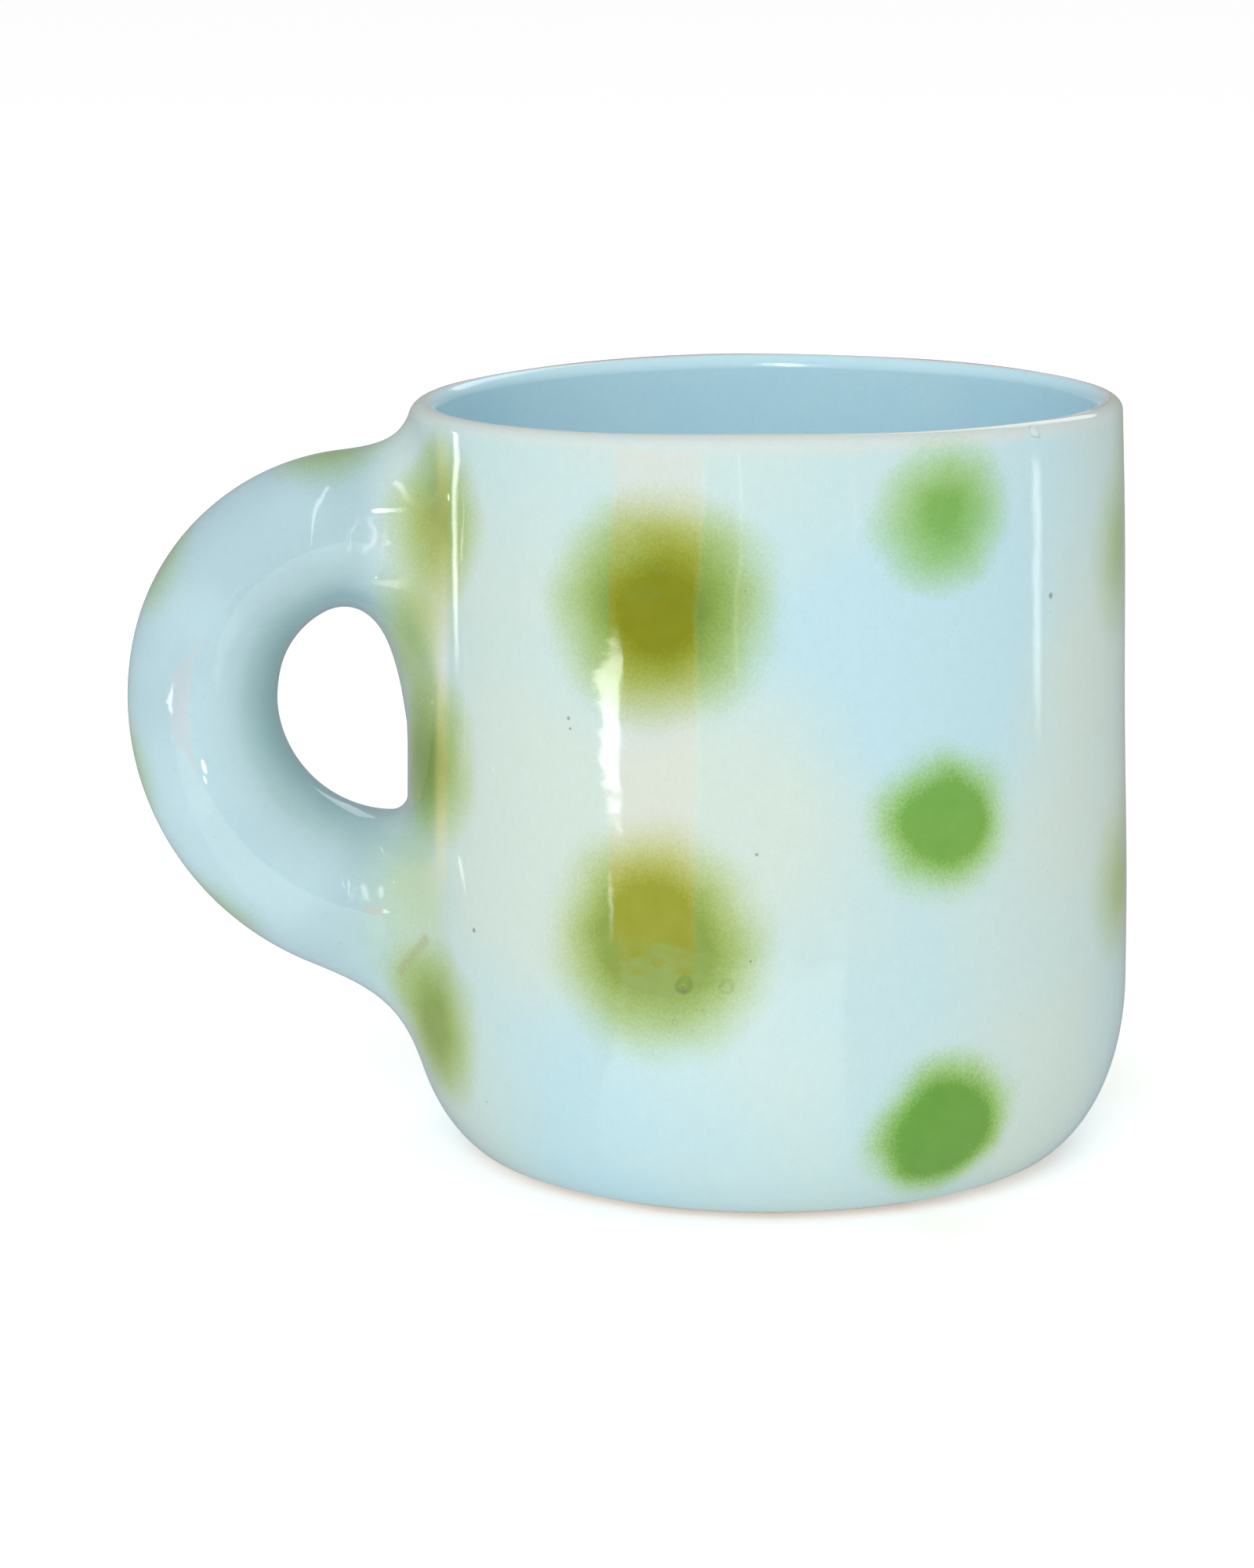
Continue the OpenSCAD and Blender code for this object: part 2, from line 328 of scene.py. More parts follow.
def coat_surface():
    """Points and quads of the glazed outside, and the point rows along its two open edges."""
    rows = wall_rows()
    turn = np.arange(COLUMNS) * 2 * math.pi / COLUMNS
    points = [np.stack([-r * np.cos(turn), -r * np.sin(turn), np.full(COLUMNS, z)], axis=1) for r, z in rows]
    points = np.concatenate(points)

    def at(row, column):
        return row * COLUMNS + column % COLUMNS

    lower_row = len(BEAD_ROWS) - 1 + BASE_ROWS
    upper_row = lower_row + HOLE_ROWS + MIDDLE_ROWS
    half = HOLE_COLUMNS // 2
    quads = []
    for r in range(len(rows) - 1):
        in_rows = lower_row <= r < lower_row + HOLE_ROWS or upper_row <= r < upper_row + HOLE_ROWS
        for c in range(-half, COLUMNS - half):
            if not (in_rows and c < half):
                quads.append((at(r, c), at(r, c + 1), at(r + 1, c + 1), at(r + 1, c)))

    new_points = [points]
    count = len(points)
    loops = []
    arms = np.linspace(UPPER_ARM_T, LOWER_ARM_T, ARM_RINGS)
    middle = []
    for t in arms:
        middle.append(list(range(count, count + RING)))
        new_points.append(handle_ring(t))
        count += RING
    for first_row, end_t, arm_t, arm_ids, mirrored in (
        (upper_row, UPPER_END, arms[0], middle[0], False),
        (lower_row, LOWER_END, arms[-1], middle[-1], True),
    ):
        edge_ids = [at(r, c) for r, c in hole_edge(first_row)]
        if mirrored:
            edge_ids = [edge_ids[(RING // 2 - i) % RING] for i in range(RING)]
        edge = points[edge_ids]
        arm = handle_ring(arm_t)
        footprint = handle_ring(end_t)
        footprint[:, 0] = -np.sqrt(np.maximum(BODY_R ** 2 - footprint[:, 1] ** 2, 0))
        ids = [edge_ids]
        for ring in root_rings(edge, footprint, arm):
            ids.append(list(range(count, count + RING)))
            new_points.append(ring)
            count += RING
        ids.append(list(arm_ids))
        loops.append(ids[::-1] if mirrored else ids)
    chain = loops[0] + middle[1:-1] + loops[1]
    for a, b in zip(chain, chain[1:]):
        for i in range(RING):
            k = (i + 1) % RING
            quads.append((a[i], a[k], b[k], b[i]))
    points = np.concatenate(new_points)
    quads = np.array(quads)
    free = np.arange(len(points)) >= len(rows) * COLUMNS
    x, z = points[:, 0], points[:, 2]
    free |= (x < ROOT_REGION[0]) & (z > ROOT_REGION[1]) & (z < ROOT_REGION[2])
    used = np.unique(quads)
    number = np.full(len(points), -1)
    number[used] = np.arange(len(used))
    points = settle_on_surface(points[used])
    quads = number[quads]
    points = relax(points, quads, np.flatnonzero(free[used]), RELAX_ROUNDS)
    bottom = number[[at(0, c) for c in range(COLUMNS)]]
    top = number[[at(len(rows) - 1, c) for c in range(COLUMNS)]]
    return points, quads, bottom.tolist(), top.tolist()


# ---- Shells, turned pieces and their meshes ----

RIM_DROP = (0.6, 0.15)  # how far the lip dips on the handle's axis, and how much more beside the handle
RIM_DROP_Z = (90.0, 94.0)


def dip_rim(points):
    """Lowers the lip a little towards the handle and away from it, as a hand-thrown rim lies."""
    r = np.maximum(polar(points)[0], 1e-6)
    towards = -points[:, 0] / r
    drop = (RIM_DROP[0] + RIM_DROP[1] * towards) * np.abs(towards) ** 1.3
    dipped = points.copy()
    dipped[:, 2] -= drop * rise_between(points[:, 2], RIM_DROP_Z) * smooth(r / 30)
    return dipped


def turned(outline):
    """Points and faces of an outline of (radius, height) turned round the axis. A place on the
    axis becomes one point."""
    turn = np.arange(COLUMNS) * 2 * math.pi / COLUMNS
    points = []
    loops = []
    for r, z in outline:
        if r < 1e-6:
            loops.append([len(points)] * COLUMNS)
            points.append((0, 0, z))
        else:
            loops.append(list(range(len(points), len(points) + COLUMNS)))
            points.extend(zip(-r * np.cos(turn), -r * np.sin(turn), np.full(COLUMNS, z)))
    faces = []
    for a, b in zip(loops, loops[1:]):
        for i in range(COLUMNS):
            k = (i + 1) % COLUMNS
            faces.append(list(dict.fromkeys((a[i], a[k], b[k], b[i]))))
    return np.array(points), faces, loops


def surface_normals(points, faces):
    """A smooth normal for each point."""
    normals = np.zeros_like(points)
    for corners in (3, 4):
        group = np.array([face for face in faces if len(face) == corners], dtype=int).reshape(-1, corners)
        across = points[group[:, 2]] - points[group[:, 0]]
        other = points[group[:, corners - 1]] - points[group[:, 1]]
        cross = np.cross(across, other)
        for k in range(corners):
            np.add.at(normals, group[:, k], cross)
    return unit(normals)


def put_in_scene(name, data):
    thing = bpy.data.objects.new(name, data)
    bpy.context.scene.collection.objects.link(thing)
    return thing


def add_piece(name, points, faces, material, normals=None):
    """A smooth mesh piece that rides on the mug. Points are in millimetres."""
    mesh = bpy.data.meshes.new(name)
    mesh.from_pydata((np.asarray(points) * MM).tolist(), [], [list(face) for face in faces])
    mesh.shade_smooth()
    if normals is not None:
        mesh.normals_split_custom_set_from_vertices(normals.tolist())
    mesh.materials.append(material)
    piece = put_in_scene(name, mesh)
    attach(piece, "root")
    return piece


def shell(points, normals, faces, back, edges):
    """Closes a surface with a back and with a strip along each of its open edges. An edge is a
    loop of points that runs so that its strip faces outwards."""
    count = len(points)
    closed = [list(face) for face in faces]
    closed += [[i + count for i in face][::-1] for face in closed]
    for loop in edges:
        for i, a in enumerate(loop):
            b = loop[(i + 1) % len(loop)]
            closed.append([b, a, a + count, b + count])
    shading = np.concatenate([normals, np.zeros_like(back)])
    return np.concatenate([points, back]), closed, shading


# ---- Node materials ----

RANGE_INPUTS = ("From Min", "From Max", "To Min", "To Max")


class Nodes:
    """Short calls for building a material's nodes. An input is a socket or a plain value."""

    def __init__(self, name):
        self.material = bpy.data.materials.new(name)
        self.material.use_nodes = True
        self.tree = self.material.node_tree
        self.shader = self.tree.nodes["Principled BSDF"]
        place = self.tree.nodes.new("ShaderNodeTexCoord")
        self.place = self.vector("SCALE", place.outputs["Object"], scale=1 / MM)

    def feed(self, socket, value):
        if isinstance(value, bpy.types.NodeSocket):
            self.tree.links.new(value, socket)
        else:
            socket.default_value = value

    def math(self, operation, a, b=0.0, clamp=False):
        node = self.tree.nodes.new("ShaderNodeMath")
        node.operation = operation
        node.use_clamp = clamp
        self.feed(node.inputs[0], a)
        self.feed(node.inputs[1], b)
        return node.outputs[0]

    def add(self, *values):
        total = values[0]
        for value in values[1:]:
            total = self.math("ADD", total, value)
        return total

    def times(self, a, b):
        return self.math("MULTIPLY", a, b)

    def vector(self, operation, a, b=(0.0, 0.0, 0.0), scale=1.0):
        node = self.tree.nodes.new("ShaderNodeVectorMath")
        node.operation = operation
        self.feed(node.inputs[0], a)
        self.feed(node.inputs[1], b)
        if operation == "SCALE":
            node.inputs["Scale"].default_value = scale
        return node.outputs["Value"] if operation in ("DISTANCE", "LENGTH") else node.outputs["Vector"]

    def part(self, vector, axis):
        node = self.tree.nodes.new("ShaderNodeSeparateXYZ")
        self.feed(node.inputs[0], vector)
        return node.outputs[axis]

    def ramp(self, value, start, end, smoothed=True):
        """Runs from 0 at start to 1 at end."""
        node = self.tree.nodes.new("ShaderNodeMapRange")
        node.interpolation_type = "SMOOTHSTEP" if smoothed else "LINEAR"
        self.feed(node.inputs["Value"], value)
        ends = (min(start, end), max(start, end), float(start > end), float(start < end))
        for name, value in zip(RANGE_INPUTS, ends):
            node.inputs[name].default_value = value
        return node.outputs["Result"]

    def noise(self, scale, detail=2.0, roughness=0.5, place=None, colour=False):
        """Noise with scale features in a millimetre."""
        node = self.tree.nodes.new("ShaderNodeTexNoise")
        self.feed(node.inputs["Vector"], self.place if place is None else place)
        node.inputs["Scale"].default_value = scale
        node.inputs["Detail"].default_value = detail
        node.inputs["Roughness"].default_value = roughness
        return node.outputs["Color" if colour else "Fac"]

    def around(self, value, amount):
        """Turns noise in 0 to 1 into a change of up to half of amount either way."""
        return self.times(self.math("SUBTRACT", value, 0.5), amount)

    def mix(self, share, a, b, blend="MIX"):
        node = self.tree.nodes.new("ShaderNodeMix")
        node.data_type = "RGBA"
        node.blend_type = blend
        for socket, value in ((node.inputs[0], share), (node.inputs[6], a), (node.inputs[7], b)):
            if isinstance(value, tuple):
                value = (*value, 1.0)
            self.feed(socket, value)
        return node.outputs[2]

    def grey(self, value):
        node = self.tree.nodes.new("ShaderNodeCombineColor")
        for socket in node.inputs:
            self.feed(socket, value)
        return node.outputs[0]

    def specks(self, scale, size, share):
        """Sparse round specks: scale is cells in a millimetre, size is a share of a cell."""
        node = self.tree.nodes.new("ShaderNodeTexVoronoi")
        self.feed(node.inputs["Vector"], self.place)
        node.inputs["Scale"].default_value = scale
        chosen = self.math("LESS_THAN", self.part(node.outputs["Color"], 0), share)
        return self.times(self.ramp(node.outputs["Distance"], size, size * 0.4), chosen)

    def finish(self, colour, roughness, relief):
        """Gives the shader its colour, its roughness and a bump from a relief in millimetres."""
        bump = self.tree.nodes.new("ShaderNodeBump")
        bump.inputs["Distance"].default_value = MM
        self.feed(bump.inputs["Height"], relief)
        self.feed(self.shader.inputs["Normal"], bump.outputs["Normal"])
        self.feed(self.shader.inputs["Base Color"], colour)
        self.feed(self.shader.inputs["Roughness"], roughness)
        return self.material


def wall_place(turn, z):
    """The point of the plain glazed wall at a turn in degrees and a height."""
    r = float(clay_radius(np.array(float(z)))) + GLAZE_T
    return (-r * math.cos(math.radians(turn)), -r * math.sin(math.radians(turn)), z)


# Sprayed spots: turn, height, radius of the full colour, radius where it has faded out, how
# quickly it fades, and density. Columns stand an eighth of a turn apart, small and big by turns.
GREEN_SPOTS = [
    (112.4, 84.3, 1.5, 9.8, 1.3, 0.85), (112.4, 48.7, 4.8, 12, 2.9, 1.0), (113.5, 11.5, 5.8, 12, 2.6, 1.2),
    (202.0, 83.0, 4, 12, 1.8, 1.0), (203.4, 47.6, 5, 12.5, 2.0, 1.0), (202.6, 12.4, 3, 11, 1.4, 0.95),
    (292.0, 84.0, 3, 11, 1.5, 0.95), (293.5, 49.5, 5, 12.5, 2.0, 1.0), (292.9, 13.0, 5, 12.5, 2.0, 1.05),
]
OLIVE_SPOTS = [
    (23.0, 82.0, 1.5, 11, 1.3, 0.88), (21.0, 52.0, 1.5, 12, 1.3, 0.8), (22.0, 19.5, 2.5, 12, 1.4, 0.82),
    (68.9, 74.1, 4.5, 15.5, 1.6, 1.3), (68.8, 35.4, 6.5, 16, 2.0, 0.92),
    (160.5, 76.4, 2, 13, 1.4, 0.42), (160.5, 36.0, 2, 13, 1.4, 0.42),
    (248.2, 72.8, 6, 16.5, 1.8, 1.15), (247.1, 34.1, 4, 16, 1.5, 1.2),
    (334.5, 78.0, 3, 12.5, 1.5, 1.0), (333.5, 35.5, 4, 13, 1.7, 1.05),
]
# Overspray that gathered on the wall, most of it beside the handle: turn, height, radius and density
WALL_OVERSPRAY = [
    (13, 64, 11, 0.36), (13, 50, 11, 0.4), (19, 72, 10, 0.25), (17, 38, 11, 0.14), (16, 28, 11, 0.12),
    (345, 60, 11, 0.35), (170, 88, 12, 0.2), (175, 52, 14, 0.22),
]
# Faint overspray on the handle's back: bend angle in degrees, radius and density
OVERSPRAY = [(82, 9, 0.4), (33, 9, 0.34), (-12, 9, 0.3), (-46, 10, 0.36)]
# Specks baked into the glaze, as turn, height and size
BAKED_SPECKS = [
    (54.2, 60.8, 0.3), (54.5, 59.6, 0.25), (34.4, 33.2, 0.42), (133.8, 73.5, 0.5), (83.7, 46.2, 0.28),
    (72.9, 30.2, 0.75),
]
# Where the glaze lies bluer or creamier than elsewhere: turn, height, radius and amount
TINTS = [
    (112, 66, 24, 0.75), (96, 80, 20, 0.35), (128, 84, 18, 0.4), (62, 8, 26, 0.55), (95, 20, 22, 0.1),
    (50, 46, 26, -0.7), (84, 52, 20, -0.55), (40, 70, 22, -0.2), (130, 30, 20, -0.25), (150, 55, 24, -0.2),
    (140, 70, 18, -0.3), (135, 12, 20, -0.5),
    (215, 66, 26, 0.6), (262, 16, 26, 0.5), (236, 48, 24, -0.5), (300, 66, 24, 0.6), (318, 30, 22, -0.4),
]
CREAM = (0.51, 0.61, 0.555)
BLUE = (0.415, 0.60, 0.65)
HANDLE_BLUE = (0.355, 0.50, 0.55)
HANDLE_PALE = (0.41, 0.57, 0.62)
LOOP_PAINTED_SHADE = (0.86, 0.91, 0.96)    # painted shade: how the glaze is darkened inside the finger loop, where shade falls
LIP_CREAM = (0.535, 0.61, 0.585)
GREEN = (0.29, 0.52, 0.06)        # what one layer of each spray lets through
OLIVE = (0.36, 0.43, 0.05)
SPECK_BROWN = (0.12, 0.12, 0.06)
CREASE_BROWN = (0.30, 0.29, 0.12)


def sprayed(n, spots, place, grain):
    """Density of the spray that made some round spots."""
    density = 0.0
    for turn, z, core, fade, power, strength in spots:
        away = n.add(n.vector("DISTANCE", place, wall_place(turn, z)), grain)
        share = n.math("POWER", n.ramp(away, fade, core, smoothed=False), power)
        density = n.add(density, n.times(share, strength))
    return density


def tinted(n, colour, pigment, density):
    """Colour seen through a spray of some density."""
    channels = n.tree.nodes.new("ShaderNodeCombineColor")
    for socket, let_through in zip(channels.inputs, pigment):
        n.feed(socket, n.math("POWER", let_through, density))
    return n.mix(1.0, colour, channels.outputs[0], "MULTIPLY")


def spotted_glaze():
    """Pale glaze that runs from cream to blue, with sprayed green and olive spots."""
    n = Nodes("spotted_glaze")
    height = n.part(n.place, 2)
    reach = n.times(n.part(n.place, 0), -1.0)
    fine = n.noise(3.2, 3.0, 0.65)
    grain = n.around(fine, 2.8)
    drift = n.vector("SUBTRACT", n.noise(0.09, 2.0, colour=True), (0.5, 0.5, 0.5))
    wobble = n.vector("SCALE", drift, scale=4.0)
    spray_place = n.vector("ADD", n.place, wobble)

    green = sprayed(n, GREEN_SPOTS, spray_place, grain)
    olive = sprayed(n, OLIVE_SPOTS, spray_place, grain)
    haze = [(wall_place(turn, z), radius, strength) for turn, z, radius, strength in WALL_OVERSPRAY]
    haze += [(tuple(handle_ring(math.radians(t))[0]), radius, strength) for t, radius, strength in OVERSPRAY]
    for middle, radius, strength in haze:
        away = n.add(n.vector("DISTANCE", spray_place, middle), grain)
        olive = n.add(olive, n.times(n.ramp(away, radius, 0.0), strength))
    patchy = n.add(1.0, n.around(n.noise(0.35, 3.0), 0.22))
    green = n.times(green, patchy)
    olive = n.times(olive, patchy)

    blue = n.add(0.42, n.around(n.noise(0.03, 3.0, 0.55), 1.5))
    for turn, z, radius, amount in TINTS:
        away = n.vector("DISTANCE", spray_place, wall_place(turn, z))
        blue = n.add(blue, n.times(n.ramp(away, radius, radius * 0.25), amount))
    blue = n.math("ADD", blue, n.times(n.ramp(height, 9.0, 2.0), 0.1), clamp=True)
    colour = n.mix(blue, CREAM, BLUE)

    handle_colour = n.mix(n.ramp(n.noise(0.05, 2.0), 0.35, 0.65), HANDLE_BLUE, HANDLE_PALE)
    # Painted shade: the handle's glaze is darkened inside the finger loop, where shade falls.
    loop_middle = (-LOWER_CENTRE[0] - 8, 0.0, HANDLE_Z + 1)
    painted_loop_shade = n.ramp(n.vector("DISTANCE", n.place, loop_middle), 19.0, 11.0)
    handle_colour = n.mix(painted_loop_shade, handle_colour, n.mix(1.0, handle_colour, LOOP_PAINTED_SHADE, "MULTIPLY"))
    colour = n.mix(n.ramp(reach, 44.0, 51.0), colour, handle_colour)
    lip = n.add(height, n.around(n.noise(0.5, 2.0), 1.0))
    colour = n.mix(n.ramp(lip, 91.4, 93.2), colour, LIP_CREAM)
    colour = tinted(n, tinted(n, colour, GREEN, green), OLIVE, olive)

    crease = 0.0
    ends = settle_on_surface(np.array([[-45.8, -11.5, 24.8], wall_place(20.0, 29.8)]))
    for share in np.linspace(0, 1, 8):
        middle = settle_on_surface(ends[:1] * (1 - share) + ends[1:] * share)[0]
        away = n.vector("DISTANCE", n.place, tuple(middle))
        crease = n.math("MAXIMUM", crease, n.ramp(away, 1.1, 0.2))
    colour = n.mix(n.times(crease, 0.4), colour, CREASE_BROWN)

    mottle = n.add(1.0, n.around(fine, 0.10), n.around(n.noise(0.8, 2.0), 0.05))
    colour = n.mix(1.0, colour, n.grey(mottle), "MULTIPLY")
    iron = n.specks(0.16, 0.032, 0.3)
    for turn, z, size in BAKED_SPECKS:
        away = n.vector("DISTANCE", n.place, wall_place(turn, z))
        iron = n.math("MAXIMUM", iron, n.ramp(away, size, size * 0.3))
    colour = n.mix(n.times(iron, 0.7), colour, SPECK_BROWN)
    pits = n.times(n.specks(0.3, 0.06, 0.16), -0.05)
    peel = n.times(n.noise(0.22, 2.0, 0.4), 0.03)
    relief = n.add(peel, pits, n.times(fine, 0.0012))
    return n.finish(colour, n.add(0.025, n.times(n.noise(0.3, 3.0), 0.05)), relief)


LINER_BLUE = (0.46, 0.70, 0.80)
LINER_PALE = (0.50, 0.72, 0.79)
LIP_PINK = (0.63, 0.60, 0.575)


def blue_glaze():
    """Even pale blue glaze, paler where it breaks over the lip."""
    n = Nodes("blue_glaze")
    height = n.part(n.place, 2)
    flat = n.vector("MULTIPLY", n.place, (1.0, 1.0, 0.0))
    away = n.vector("LENGTH", flat)
    clouds = n.noise(0.05, 3.0)
    colour = n.mix(n.ramp(clouds, 0.35, 0.7), LINER_BLUE, LINER_PALE)
    over_lip = n.add(height, n.around(n.noise(0.4, 2.0), 1.2))
    colour = n.mix(n.times(n.ramp(over_lip, 89.0, 93.0), 0.6), colour, LINER_PALE)
    edge = n.add(away, n.around(n.noise(0.6, 2.0), 0.5))
    at_edge = n.times(n.ramp(edge, 41.0, 41.6), n.ramp(height, 92.0, 93.0))
    colour = n.mix(at_edge, colour, LIP_PINK)
    mottle = n.add(1.0, n.around(n.noise(2.6, 3.0, 0.65), 0.08), n.around(n.noise(0.8), 0.05))
    colour = n.mix(1.0, colour, n.grey(mottle), "MULTIPLY")
    colour = n.mix(n.times(n.specks(0.16, 0.032, 0.25), 0.6), colour, SPECK_BROWN)
    pits = n.times(n.specks(0.3, 0.06, 0.12), -0.05)
    relief = n.add(pits, n.times(n.noise(0.22, 2.0, 0.4), 0.035))
    return n.finish(colour, n.add(0.06, n.times(n.noise(0.3, 3.0), 0.08)), relief)


CLAY_BUFF = (0.62, 0.57, 0.48)
CLAY_TOAST = (0.52, 0.43, 0.33)
SLIP_BUFF = (0.54, 0.47, 0.38)
IRON_BROWN = (0.09, 0.055, 0.03)


def fired_clay(name, base, toast, grog):
    """Unglazed stoneware with iron specks. grog is the height of its grains."""
    n = Nodes(name)
    colour = n.mix(n.ramp(n.noise(0.08, 4.0, 0.6), 0.4, 0.75), base, toast)
    grains = n.add(1.0, n.around(n.noise(3.0, 4.0, 0.7), 0.3))
    colour = n.mix(1.0, colour, n.grey(grains), "MULTIPLY")
    iron = n.math("MAXIMUM", n.specks(0.5, 0.12, 0.2), n.specks(0.22, 0.09, 0.3))
    colour = n.mix(n.times(iron, 0.75), colour, IRON_BROWN)
    roughness = n.add(0.7, n.times(n.noise(1.2, 3.0), 0.25))
    return n.finish(colour, roughness, n.times(n.noise(2.2, 4.0, 0.7), grog))


glaze_material = spotted_glaze()
liner_material = blue_glaze()
clay_material = fired_clay("bare_stoneware", CLAY_BUFF, CLAY_TOAST, 0.08)
slip_material = fired_clay("fired_slip", SLIP_BUFF, CLAY_BUFF, 0.03)

# ---- The glaze coat over wall and handle ----

coat_points, coat_faces, coat_bottom, coat_top = coat_surface()
coat_normals = unit(gradient(coat_points))
coat_back = coat_points - GLAZE_T * coat_normals
for row, distance in enumerate(BEAD_ROWS[:-1]):
    rounding = 1 - math.sqrt(1 - (1 - min(distance / BEAD_W, 1)) ** 2)
    ids = [row * COLUMNS + c for c in range(COLUMNS)]
    coat_points[ids] -= GLAZE_T * rounding * coat_normals[ids]
bead_ids = np.arange(len(BEAD_ROWS) * COLUMNS)
coat_normals[bead_ids] = surface_normals(coat_points, coat_faces.tolist())[bead_ids]
coat_normals[coat_top] = (0, 0, 1)
coat_edges = [coat_bottom, coat_top[::-1]]
points, faces, shading = shell(coat_points, coat_normals, coat_faces, coat_back, coat_edges)
coat = add_piece("glaze_coat", dip_rim(points), faces, glaze_material, shading)
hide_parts("outer_glaze", "handle_glaze")

# ---- Blisters that burst in the glaze, and a bead on the lip ----

BLISTERS = [      # turn, height, radius, rise
    (72.9, 30.6, 1.1, 0.62), (79.3, 30.7, 1.0, 0.5), (71.6, 26.2, 0.5, 0.18), (75.9, 27.6, 0.45, 0.16),
    (108.4, 88.0, 0.45, 0.18), (117.2, 83.2, 0.45, 0.16), (76.4, 71.3, 0.45, 0.15),
    (20.6, 59.0, 0.5, 0.2), (26.0, 58.4, 0.45, 0.16), (130.4, 93.2, 0.8, 0.5),
]
BLISTER_RINGS = 10
BLISTER_SIDES = 32


def blister(turn, z, radius, rise):
    """A closed low dome with a burst hollow on top, half sunk into the glaze."""
    start = np.array([wall_place(turn, z)])
    middle = settle_on_surface(start)
    normal = unit(gradient(middle))[0]
    side = np.array([math.sin(math.radians(turn)), -math.cos(math.radians(turn)), 0])
    upward = np.cross(side, normal)
    points = []
    for ring in range(BLISTER_RINGS + 1):
        share = ring / BLISTER_RINGS
        dome = (1 - share ** 2) ** 1.5 * rise
        hollow = 0.3 * rise * math.exp(-(share / 0.3) ** 2)
        for i in range(BLISTER_SIDES):
            a = 2 * math.pi * i / BLISTER_SIDES
            spread = radius * share * (1 + 0.08 * math.sin(2 * a + turn) + 0.05 * math.sin(3 * a + z))
            points.append(middle[0] + spread * (math.cos(a) * side + math.sin(a) * upward)
                          + (dome - hollow - 0.03) * normal)
    points.append(middle[0] - 0.2 * normal)
    faces = []
    for ring in range(BLISTER_RINGS):
        for i in range(BLISTER_SIDES):
            k = (i + 1) % BLISTER_SIDES
            a, b = ring * BLISTER_SIDES, (ring + 1) * BLISTER_SIDES
            faces.append([a + i, b + i, b + k, a + k])
    last = BLISTER_RINGS * BLISTER_SIDES
    faces += [[last + (i + 1) % BLISTER_SIDES, last + i, len(points) - 1] for i in range(BLISTER_SIDES)]
    return points, faces


points = []
faces = []
for place in BLISTERS:
    more_points, more_faces = blister(*place)
    faces += [[i + len(points) for i in face] for face in more_faces]
    points += more_points
add_piece("glaze_blisters", dip_rim(np.array(points)), faces, glaze_material)

# ---- The liner, with the marks of throwing ----

FLOOR_MARK_H = 0.13     # height of the spiral that the potter's finger left in the floor
FLOOR_MARK_STEP = 4.6
WALL_MARK_H = 0.03
WALL_MARK_STEP = 7.0


def inner_outline(depth):
    """The hollow's outline from the top of the lip to the middle of the floor, depth into the cup."""
    outline = []
    for a in np.radians(np.linspace(90, 180, 12)):
        r = CLAY_RIM_R - LIP_R + (LIP_R + depth) * math.cos(a)
        outline.append((r, LIP_Z + (LIP_R + depth) * math.sin(a)))
    low = FLOOR_Z + INNER_CORNER[1]
    for z in np.linspace(LIP_Z, low, 52)[1:]:
        outline.append((float(clay_radius(np.array(z))) - CLAY_WALL_T - depth, z))
    width, height = INNER_CORNER
    edge = CLAY_R - CLAY_WALL_T - width
    for a in np.radians(np.linspace(90, 0, 26)[1:]):
        normal = np.array([math.sin(a) / width, -math.cos(a) / height])
        normal /= np.linalg.norm(normal)
        spot = np.array([edge + width * math.sin(a), FLOOR_Z + height * (1 - math.cos(a))]) - depth * normal
        outline.append(tuple(spot))
    outline += [(r, FLOOR_Z + depth) for r in np.linspace(edge, 0, 36)[1:]]
    return outline


points, faces, loops = turned(inner_outline(GLAZE_T))
normals = surface_normals(points, faces)
back = points - GLAZE_T * normals
r, turn = polar(points)
floor_share = smooth((22 - points[:, 2]) / 12) * smooth(r / 4)
wall_share = smooth((points[:, 2] - 14) / 10) * smooth((88 - points[:, 2]) / 10)
run = r - np.maximum(points[:, 2] - FLOOR_Z - 4, 0) * 0.6
marks = FLOOR_MARK_H * floor_share * np.sin(2 * math.pi * run / FLOOR_MARK_STEP - turn)
marks += WALL_MARK_H * wall_share * np.sin(2 * math.pi * points[:, 2] / WALL_MARK_STEP + turn)
points = points + marks[:, None] * normals
normals = surface_normals(points, faces)
normals[loops[0]] = (0, 0, 1)
points, faces, shading = shell(points, normals, faces, back, [loops[0]])
liner = add_piece("glaze_liner", dip_rim(points), faces, liner_material, shading)
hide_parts("liner_glaze")

# ---- The clay vessel, bare at its foot ----

FOOT_ROUND = 0.7        # radius of the foot ring's two edges
TOOL_MARK_H = 0.07      # depth of the grooves that the trimming tool left
TOOL_MARK_STEP = 1.9


def foot_outline():
    """From the middle of the recess over the foot ring to its outer edge."""
    inside = FOOT_R - FOOT_W
    outline = [(r, RECESS_H) for r in np.linspace(0, inside - 2.4, 44)]
    for share in np.linspace(0, 1, 12)[1:]:
        outline.append((inside - 2.4 + 2.4 * share, RECESS_H - (RECESS_H - FOOT_ROUND) * smooth(share)))
    for a in np.radians(np.linspace(180, 270, 7)[1:]):
        outline.append((inside + FOOT_ROUND * (1 + math.cos(a)), FOOT_ROUND * (1 + math.sin(a))))
    outline += [(r, 0.0) for r in np.linspace(inside + FOOT_ROUND, FOOT_R - 0.3, 8)[1:]]
    return outline


